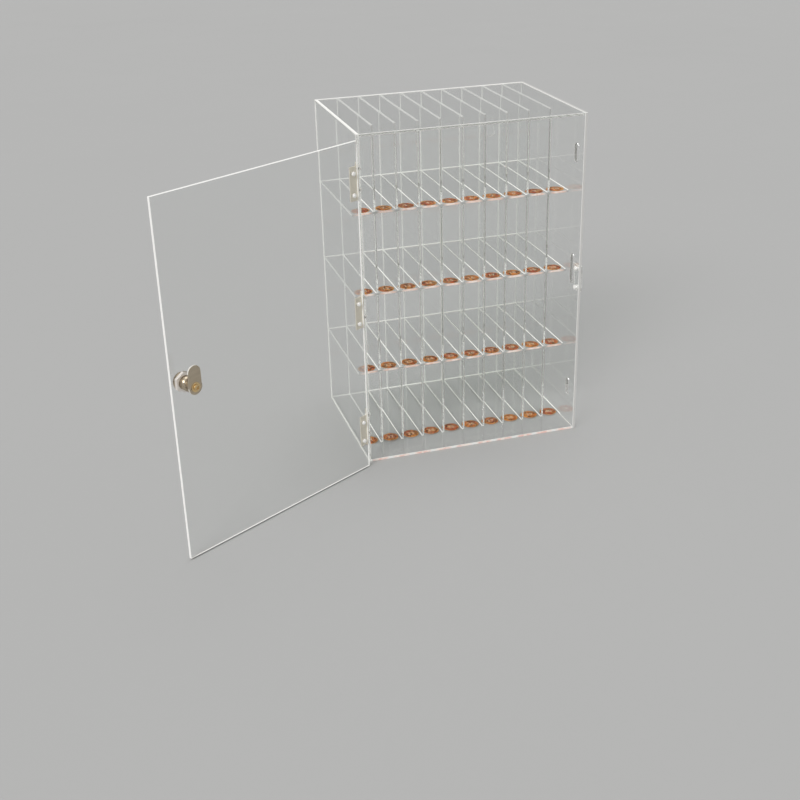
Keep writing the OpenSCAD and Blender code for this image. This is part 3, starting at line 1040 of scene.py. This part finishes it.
@dataclass
class Cement(SubAssembly):
    """Fillets of cement along the dividers' feet, heads and backs and along the edges of the shelves."""

    leg: float = 0.9 * MM
    back_leg: float = 0.7 * MM
    outline: Outline = ((0, 0), (1, 0), (0.42, 0.42), (0, 1))
    floors: tuple[str, ...] = ("bottom_panel", *Rack.shelves)

    def tree(self) -> GeoTree:
        """Builds the nodes of equal fillets, each with its corner on a point.

        Returns:
            The tree.
        """
        geo = GeoTree("cement_fillets", Float=("Leg", "Length"), Vector=("Turn",), Material=("Finish",))
        fillet = geo.prism(self.outline, geo.entry["Leg"], geo.entry["Length"])
        geo.close(geo.strew(fillet, geo.rotation(geo.entry["Turn"])))
        return geo

    def build(self) -> None:
        """Runs the fillets from the front of the rack to the back panel."""
        geo = self.tree()
        walls = [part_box(name) for name in Rack.dividers]
        levels = [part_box(name)[1].z for name in self.floors]
        start, end = walls[0][0].y, walls[0][1].y
        left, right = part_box("left_panel")[1].x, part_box("right_panel")[0].x
        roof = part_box("top_panel")[0].z
        depth, width, height = end - start, right - left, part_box(Rack.shelves[0])[0].z - levels[0]
        feet = [Vector((wall[0].x, start, z)) for wall in walls for z in levels]
        heads = [Vector((wall[0].x, start, roof)) for wall in walls]
        backs = [Vector((wall[0].x, end, z)) for wall in walls for z in levels]
        left_side, right_side = ([Vector((x, start, z)) for z in levels] for x in (left, right))
        back_edge = [Vector((left, end, z)) for z in levels]
        for name, first, second, length, leg, points in (
            ("cement_feet", -ACROSS, UP, depth, self.leg, feet),
            ("cement_heads", -UP, -ACROSS, depth, self.leg, heads),
            ("cement_left_side", UP, ACROSS, depth, self.leg, left_side),
            ("cement_right_side", -ACROSS, UP, depth, self.leg, right_side),
            ("cement_backs", -ACROSS, FRONT, height, self.back_leg, backs),
            ("cement_back_edge", UP, FRONT, width, self.back_leg, back_edge),
            ("cement_roof_edge", FRONT, -UP, width, self.back_leg, [Vector((left, end, roof))]),
        ):
            turn = Matrix((first, second, first.cross(second))).transposed().to_euler()
            values = {"Leg": leg, "Length": length, "Turn": Vector(turn), "Finish": EDGE.material()}
            self.keep(geo.grow(name, values, points), Body.CABINET, Slot.SHEET)


@dataclass
class NumberStickers(SubAssembly):
    """Round stickers at the front of the cells, numbered from the top left."""

    columns: int = 10
    rows: tuple[str, ...] = tuple(f"number_stickers_row_{i}" for i in range(1, 5))
    figure: float = 11.5 * MM
    figure_steps: int = 3
    figure_weld: float = 1e-7
    ink: float = 0.03 * MM
    bond: float = 0.06 * MM
    sides: int = 48
    outline: Outline = ((0, 0), (1, 0), (1, 0.3), (1, 0.8), (0.985, 1), (0, 1))

    def tree(self) -> GeoTree:
        """Builds the nodes of discs that remember their own middle.

        Returns:
            The tree.
        """
        geo = GeoTree("number_discs", Float=("Radius", "Thickness"), Material=("Finish",))
        disc = geo.lathe(self.outline, geo.entry["Radius"], geo.entry["Thickness"], self.sides)
        spot = geo.web.get("GeometryNodeInputPosition")
        marked = geo.web.get(
            "GeometryNodeStoreNamedAttribute",
            {"Geometry": disc, "Name": "disc", "Value": spot},
            data_type="FLOAT_VECTOR",
            domain="POINT",
        )
        geo.close(geo.strew(marked))
        return geo

    def build(self) -> None:
        """Makes the discs of each row and the numbers on them."""
        geo, radius = self.tree(), PAPER.radius
        values = {"Radius": radius, "Thickness": PAPER.thickness, "Finish": PAPER.material()}
        for row, node in enumerate(self.rows):
            low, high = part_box(node)
            step = (high.x - low.x - 2 * radius) / (self.columns - 1)
            spots = [
                Vector((low.x + radius + step * i, (low.y + high.y) / 2, low.z - self.bond))
                for i in range(self.columns)
            ]
            discs = geo.grow(f"sticker_discs_row_{row + 1}", values, spots)
            soften(discs.data)
            self.keep(discs, Body.CABINET, Slot.STICKER, node)
            figures = bmesh.new()
            for i, spot in enumerate(spots):
                self.print_number(figures, row * self.columns + i + 1, spot)
            bmesh.ops.remove_doubles(figures, verts=figures.verts, dist=self.figure_weld)
            name = f"sticker_numbers_row_{row + 1}"
            self.keep(placed(name, poured(figures, name, DIGIT)), Body.CABINET, Slot.STICKER, node)

    def print_number(self, figures: bmesh.types.BMesh, value: int, spot: Vector) -> None:
        """Adds one number to the shapes of its row.

        Args:
            figures: the shapes.
            value: the number.
            spot: the sticker's middle.
        """
        curve = bpy.data.curves.new("figure", "FONT")
        curve.body, curve.size = str(value), self.figure
        curve.align_x, curve.align_y = "CENTER", "CENTER"
        curve.extrude, curve.resolution_u = self.ink / 2, self.figure_steps
        text = placed("figure", curve)
        mesh = settled(text)
        mesh.transform(Matrix.Translation(spot + UP * (PAPER.thickness + self.ink / 2)))
        figures.from_mesh(mesh)
        bpy.data.objects.remove(text)
        bpy.data.curves.remove(curve)
        bpy.data.meshes.remove(mesh)


@dataclass
class Hinges(SubAssembly):
    """Three butt hinges: leaves and pins."""

    arris: float = 0.3 * MM
    heights: tuple[str, ...] = ("lower", "middle", "upper")

    def build(self) -> None:
        """Copies the leaves and pins with rounded edges."""
        halves = (("frame_leaf", Body.CABINET), ("pin", Body.CABINET), ("door_leaf", Body.DOOR))
        for height in self.heights:
            for half, body in halves:
                self.copy(Copied(f"hinge_{height}_{half}", self.arris), body, Slot.HINGE, HINGE_STEEL)


@dataclass(frozen=True)
class Hardware:
    """A kind of screw or nut: its sizes in millimetres, in the order of its tree's inputs."""

    sizes: tuple[float, ...]
    turns: int = 0
    finish: Finish = FASTENER_STEEL


@dataclass
class Fasteners(SubAssembly):
    """Cross-recess screws and hexagon nuts of the hinges, the keeper and the lock."""

    swing: DoorSwing = DoorSwing()
    screw_inputs: tuple[str, ...] = ("Head Radius", "Head Height", "Shank Radius", "Length", "Thread Depth")
    nut_inputs: tuple[str, ...] = ("Half Width", "Thickness", "Hole Radius")
    leaf_screw: Hardware = Hardware((2.8, 1.8, 1.5, 8.4, 0.22), turns=17)
    leaf_nut: Hardware = Hardware((2.75, 2.4, 1.45))
    keeper_bolt: Hardware = Hardware((4, 2.48, 2, 9.4, 0.3), turns=15)
    keeper_nut: Hardware = Hardware((3.5, 2.6, 1.95))
    clamp_nut: Hardware = Hardware((12, 5, 9.3), finish=NUT_NICKEL)
    cam_screw: Hardware = Hardware((4.2, 2.6, 2, 10, 0.3), turns=15, finish=SCREW_BRASS)
    hinge_heights: Triple = (63 * MM, 250 * MM, 437 * MM)
    half_pitch: float = 15 * MM
    keeper_heights: Pair = (235 * MM, 265 * MM)
    lock_height: float = 256 * MM
    head: Outline = ((0, 0), (1, 0), (1, -0.42), (0.95, -0.68), (0.8, -0.9), (0.55, -1), (0, -1))
    recess: Pair = (1.15, 0.32)
    recess_drop: float = -0.9
    chamfer: Outline = ((0, 0), (0.95, 0), (1.17, 0.16), (1.17, 0.84), (0.95, 1), (0, 1))
    chamfer_sides: int = 50
    flats: int = 6
    drill_sides: int = 32
    drill_reach: float = 4.0
    rings_per_turn: int = 5
    sides: int = 24
    slack: float = 1.5
    sharp: float = 30.0

    def screw_tree(self, turns: int) -> GeoTree:
        """Builds the nodes of pan-head screws with a cross recess and a cut thread, heads towards -Z.

        Args:
            turns: turns of the thread.

        Returns:
            The tree.
        """
        name = f"cross_recess_screws_{turns}"
        geo = GeoTree(name, Float=self.screw_inputs, Vector=("Turn",), Int=("Seed",), Material=("Finish",))
        web, entry = geo.web, geo.entry
        radius, height = entry["Head Radius"], entry["Head Height"]
        head = geo.lathe(self.head, radius, height, self.sides)
        long, wide = (web.times(radius, share) for share in self.recess)
        bar = web.get("GeometryNodeMeshCube", {"Size": web.vector(long, wide, height)})
        drop = web.vector(z=web.times(height, self.recess_drop))
        bars = []
        for turn in (0.0, math.pi / 2):
            crossed = {"Geometry": bar, "Translation": drop, "Rotation": (0, 0, turn)}
            bars.append(web.get("GeometryNodeTransform", crossed))
        recessed = geo.carve("DIFFERENCE", {"Mesh 1": head, "Mesh 2": bars})
        whole = web.get("GeometryNodeJoinGeometry", {0: [recessed, self.thread(geo, turns)]})
        chance = web.add("FunctionNodeRandomValue", {"Seed": entry["Seed"]}, data_type="FLOAT")
        limits = [socket for socket in chance.inputs if socket.enabled]
        limits[0].default_value, limits[1].default_value = -self.slack, self.slack
        angle = next(socket for socket in chance.outputs if socket.enabled)
        spin = {"Rotation": geo.rotation(entry["Turn"]), "Rotate By": geo.rotation(web.vector(z=angle))}
        turn = web.get("FunctionNodeRotateRotation", spin, rotation_space="LOCAL")
        geo.close(geo.strew(whole, turn))
        return geo

    def thread(self, geo: GeoTree, turns: int) -> Socket:
        """A rod with a helical thread along +Z.

        Args:
            geo: the tree it goes into.
            turns: turns of the thread.

        Returns:
            The rod's mesh.
        """
        web, entry = geo.web, geo.entry
        # The first and the last row close the rod on its axis, and the rows between wind along it.
        rows = turns * self.rings_per_turn + 3
        grid, row, column = geo.wrap(self.sides, rows)
        round_share = web.maths("DIVIDE", column, float(self.sides))
        along = web.maths("DIVIDE", web.maths("SUBTRACT", row, 1.0), float(rows - 3), clamp=True)
        phase = web.maths("FRACT", web.maths("SUBTRACT", web.times(along, float(turns)), round_share))
        groove = web.maths("ABSOLUTE", web.maths("MULTIPLY_ADD", phase, 2.0, -1.0))
        inside = web.times(web.maths("GREATER_THAN", row, 0.5), web.maths("LESS_THAN", row, rows - 1.5))
        out = web.maths("SUBTRACT", entry["Shank Radius"], web.times(groove, entry["Thread Depth"]))
        turn, height = web.times(round_share, math.tau), web.times(along, entry["Length"])
        return geo.bend(grid, geo.polar(web.times(out, inside), turn, height))

    def nut_tree(self) -> GeoTree:
        """Builds the nodes of hexagon nuts with turned-off corners, along +Z.

        Returns:
            The tree.
        """
        geo = GeoTree("hexagon_nuts", Float=self.nut_inputs, Vector=("Turn",), Material=("Finish",))
        web = geo.web
        half, thickness, hole = (geo.entry[name] for name in self.nut_inputs)
        turn = math.pi / self.flats
        corner = web.maths("DIVIDE", half, math.cos(turn))
        prism = {"Vertices": self.flats, "Radius": corner, "Depth": thickness}
        prism = {"Geometry": web.get("GeometryNodeMeshCylinder", prism), "Rotation": (0, 0, turn)}
        prism["Translation"] = web.vector(z=web.times(thickness, 0.5))
        turned = geo.lathe(self.chamfer, half, thickness, self.chamfer_sides)
        blank = geo.carve("INTERSECT", {"Mesh 2": [web.get("GeometryNodeTransform", prism), turned]})
        through = web.times(thickness, self.drill_reach)
        drill = {"Vertices": self.drill_sides, "Radius": hole, "Depth": through}
        bored = {"Mesh 1": blank, "Mesh 2": web.get("GeometryNodeMeshCylinder", drill)}
        geo.close(geo.strew(geo.carve("DIFFERENCE", bored), geo.rotation(geo.entry["Turn"])))
        return geo

    def build(self) -> None:
        """Makes the screws and nuts of each body."""
        nuts = self.nut_tree()
        threads = (self.leaf_screw.turns, self.keeper_bolt.turns)
        screws = {turns: self.screw_tree(turns) for turns in threads}
        leaves = [z + side for z in self.hinge_heights for side in (-self.half_pitch, self.half_pitch)]
        lock = (self.lock_height,)
        for name, node, kind, body, slot, x, y, heights, heading, seed in (
            ("leaf_screws_frame", "frame_leaf_screws", self.leaf_screw, Body.CABINET, Slot.FASTENER,
             -171.2, -115.25, leaves, Heading.RIGHT, 3),
            ("leaf_nuts_frame", "frame_leaf_nuts", self.leaf_nut, Body.CABINET, Slot.FASTENER,
             -166, -115.25, leaves, Heading.RIGHT, 0),
            ("leaf_screws_door", "door_leaf_screws", self.leaf_screw, Body.DOOR, Slot.FASTENER,
             -159.75, -126.7, leaves, Heading.BACK, 8),
            ("leaf_nuts_door", "door_leaf_nuts", self.leaf_nut, Body.DOOR, Slot.FASTENER,
             -159.75, -121.5, leaves, Heading.BACK, 0),
            ("keeper_bolts_pan_head", "keeper_bolts", self.keeper_bolt, Body.CABINET, Slot.FASTENER,
             172, -111, self.keeper_heights, Heading.LEFT, 5),
            ("keeper_nuts_hexagon", "keeper_nuts", self.keeper_nut, Body.CABINET, Slot.FASTENER,
             166, -111, self.keeper_heights, Heading.LEFT, 0),
            ("lock_clamp_nut", "lock_nut", self.clamp_nut, Body.DOOR, Slot.LOCK,
             152, -120.5, lock, Heading.BACK, 0),
            ("cam_screw_pan_head", "cam_screw", self.cam_screw, Body.PLUG, Slot.FASTENER,
             152, -93, lock, Heading.AHEAD, 2),
        ):
            values = {"Turn": Vector(heading.value), "Finish": kind.finish.material()}
            if kind.turns:
                values["Seed"] = seed
            inputs = self.screw_inputs if kind.turns else self.nut_inputs
            values |= {key: size * MM for key, size in zip(inputs, kind.sizes)}
            points = [Vector((x * MM, y * MM, z)) for z in heights]
            made = screws.get(kind.turns, nuts).grow(name, values, points)
            if body is not Body.CABINET:
                self.swing.carry(made)
            soften(made.data, self.sharp)
            self.keep(made, body, slot, node)


@dataclass
class CamLock(SubAssembly):
    """The cam lock: threaded housing, washers, plug and cam."""

    swing: DoorSwing = DoorSwing()
    place: Pair = (152 * MM, 256 * MM)
    arris: float = 0.25 * MM
    core: float = 8.85 * MM
    crest: float = 9.35 * MM
    pitch: float = 1.25 * MM
    steps_per_turn: int = 48
    ridge_sides: int = 4
    thread: Pair = (-120 * MM, -97 * MM)
    sides: int = 72
    sharp: float = 30.0
    housing: Outline = (
        (7.26, -127.7), (9.6, -127.7), (10.6, -127.5), (11.25, -127.0), (11.5, -126.3), (11.5, -125.5),
        (8.85, -125.5), (8.85, -96.9), (8.3, -96.3), (6.06, -96.3), (6.06, -123.64), (7.26, -123.64),
    )

    def thread_tree(self) -> GeoTree:
        """Builds the nodes of a ridge that winds round the barrel.

        Returns:
            The tree.
        """
        geo = GeoTree("barrel_thread", Float=("Radius", "Ridge", "Pitch", "Length"), Material=("Finish",))
        web, entry = geo.web, geo.entry
        spiral = web.get(
            "GeometryNodeCurveSpiral",
            {
                "Resolution": self.steps_per_turn,
                "Rotations": web.maths("DIVIDE", entry["Length"], entry["Pitch"]),
                "Start Radius": entry["Radius"],
                "End Radius": entry["Radius"],
                "Height": entry["Length"],
            },
        )
        profile = {"Resolution": self.ridge_sides, "Radius": entry["Ridge"]}
        ridge = web.get("GeometryNodeCurvePrimitiveCircle", profile)
        wound = {"Curve": spiral, "Profile Curve": ridge, "Fill Caps": True}
        geo.close(web.get("GeometryNodeCurveToMesh", wound))
        return geo

    def barrel(self) -> bpy.types.Object:
        """Turns the housing about the lock's axis and winds its thread on.

        Returns:
            The housing's object.
        """
        work = bmesh.new()
        rings = [
            [work.verts.new((r * MM * math.cos(a), y * MM, r * MM * math.sin(a))) for r, y in self.housing]
            for a in (math.tau * i / self.sides for i in range(self.sides))
        ]
        for here, there in zip(rings, rings[1:] + rings[:1]):
            for j, corner in enumerate(here):
                k = (j + 1) % len(here)
                work.faces.new((corner, here[k], there[k], there[j]))
        bmesh.ops.recalc_face_normals(work, faces=work.faces)
        start, end = self.thread
        values = {
            "Radius": self.core,
            "Ridge": self.crest - self.core,
            "Pitch": self.pitch,
            "Length": end - start,
            "Finish": LOCK_NICKEL.material(),
        }
        ridge = self.thread_tree().grow("thread", values)
        ridge.data.transform(Matrix.Translation((0, start, 0)) @ Matrix.Rotation(-math.pi / 2, 4, "X"))
        work.from_mesh(ridge.data)
        bpy.data.objects.remove(ridge)
        mesh = poured(work, "lock_barrel", LOCK_NICKEL)
        soften(mesh, self.sharp)
        mesh.transform(Matrix.Translation((self.place[0], 0, self.place[1])))
        return self.swing.carry(placed("lock_barrel", mesh))

    def build(self) -> None:
        """Makes the housing and copies the plug, the cam and the washers."""
        self.keep(self.barrel(), Body.DOOR, Slot.LOCK, "lock_housing")
        for node, body, *finishes in (
            ("lock_washer", Body.DOOR, LOCK_NICKEL),
            ("lock_plug", Body.PLUG, LOCK_NICKEL),
            # The cam's edges are lighter: sheared steel, and a painted highlight.
            ("cam", Body.PLUG, LOCK_NICKEL, CAM_RIM_SHEARED_AND_HIGHLIGHTED, CAM_RIM_SHEARED_AND_HIGHLIGHTED, CAM_RIM_SHEARED_AND_HIGHLIGHTED),
            ("cam_washer", Body.PLUG, SCREW_BRASS),
        ):
            self.copy(Copied(node, self.arris, rim=self.arris), body, Slot.LOCK, *finishes)


@dataclass(frozen=True)
class Lamp:
    """A broad, far lamp of the studio."""

    name: str
    place: Triple
    spread: float
    power: float

    def light(self) -> None:
        """Hangs the lamp, aimed at the middle of the floor."""
        lamp = bpy.data.lights.new(self.name, "SUN")
        lamp.angle, lamp.energy = math.radians(self.spread), self.power
        thing = placed(self.name, lamp)
        thing.location = self.place
        thing.rotation_euler = (-Vector(self.place)).to_track_quat("-Z", "Y").to_euler()


@dataclass
class Studio:
    """Floor, soft light and camera."""

    floor_radius: float = 40.0
    floor_sides: int = 96
    floor_drop: float = -0.1 * MM
    sky_steps: tuple[tuple[float, Triple], ...] = (
        (0.02, (0.482, 0.483, 0.476)),
        (0.40, (0.36, 0.36, 0.36)),
        (0.58, (0.36, 0.36, 0.36)),
        (0.80, (0.95, 0.95, 0.94)),
    )
    ambient: float = 0.45
    azimuth: float = -16.195
    elevation: float = 25.690
    roll: float = -1.559
    distance: float = 1.80488
    aim: Triple = (-0.11791, -0.121, 0.09632)
    lens: float = 54.285
    sensor: float = 36.0
    clip: Pair = (0.02, 60.0)
    bounces: int = 40
    scatter_bounces: int = 4
    clear_bounces: int = 96
    lamps: tuple[Lamp, ...] = (
        Lamp("key_lamp", (-1.6, -1.5, 1.6), 25.0, 1.95),
        Lamp("top_lamp", (0.4, 0.5, 2.4), 40.0, 0.80),
    )

    def build(self) -> None:
        """Sets up the floor, the lamps, the sky and the camera."""
        work = bmesh.new()
        bmesh.ops.create_circle(work, cap_ends=True, segments=self.floor_sides, radius=self.floor_radius)
        mesh = poured(work, "studio_floor", FLOOR)
        mesh.transform(Matrix.Translation((0, 0, self.floor_drop)))
        placed("studio_floor", mesh)
        for lamp in self.lamps:
            lamp.light()
        self.sky()
        self.camera()
        cycles = bpy.context.scene.cycles
        cycles.max_bounces = cycles.glossy_bounces = cycles.transmission_bounces = self.bounces
        cycles.diffuse_bounces, cycles.transparent_max_bounces = self.scatter_bounces, self.clear_bounces
        bpy.context.scene.view_settings.view_transform = "Standard"

    def sky(self) -> None:
        """A pale surround with a bright canopy overhead, and an even light from all round."""
        world = bpy.data.worlds.new("studio")
        bpy.context.scene.world = world
        world.use_nodes = True
        world.node_tree.nodes.clear()
        web = NodeWeb(world.node_tree)
        rise = web.axis(web.add("ShaderNodeTexCoord").outputs["Generated"], 2)
        ramp = web.add("ShaderNodeValToRGB", {0: rise})
        stops = ramp.color_ramp.elements
        for _ in self.sky_steps[2:]:
            stops.new(0.5)
        for stop, (height, colour) in zip(stops, self.sky_steps):
            stop.position, stop.color = height, opaque(colour)
        seen = web.get("ShaderNodeBackground", {"Color": ramp.outputs[0]})
        fill = web.get("ShaderNodeBackground", {"Color": opaque((1, 1, 1)), "Strength": self.ambient})
        path = web.add("ShaderNodeLightPath").outputs
        shown = web.maths("MAXIMUM", path["Is Camera Ray"], path["Is Glossy Ray"])
        shown = web.maths("MAXIMUM", shown, path["Is Transmission Ray"])
        both = web.get("ShaderNodeMixShader", {0: shown, 1: fill, 2: seen})
        web.add("ShaderNodeOutputWorld", {"Surface": both})

    def camera(self) -> None:
        """Stands the camera at the viewing angle."""
        side, rise, roll = (math.radians(angle) for angle in (self.azimuth, self.elevation, self.roll))
        flat = math.cos(rise)
        back = Vector((math.sin(side) * flat, -math.cos(side) * flat, math.sin(rise)))
        lens = bpy.data.cameras.new("camera")
        lens.lens, lens.sensor_width = self.lens, self.sensor
        lens.clip_start, lens.clip_end = self.clip
        thing = placed("camera", lens)
        level = (-back).to_track_quat("-Z", "Y").to_matrix().to_4x4()
        stand = Matrix.Translation(Vector(self.aim) + back * self.distance)
        thing.matrix_world = stand @ level @ Matrix.Rotation(roll, 4, "Z")
        bpy.context.scene.camera = thing


def main() -> None:
    """Builds the studio and the cabinet, piece by piece, and logs each piece's face count."""
    logging.basicConfig(level=logging.INFO, format="%(name)s: %(message)s")
    Studio().build()
    for part in (Carcass(), Rack(), Cement(), NumberStickers(), Hinges(), Fasteners(), CamLock()):
        part.build()
        part.dress()
        for piece in part.pieces:
            faces = len(piece.thing.data.polygons)
            LOG.info("%s: %d faces, on %s", piece.thing.name, faces, piece.body.value)


if __name__ == "__main__":
    main()
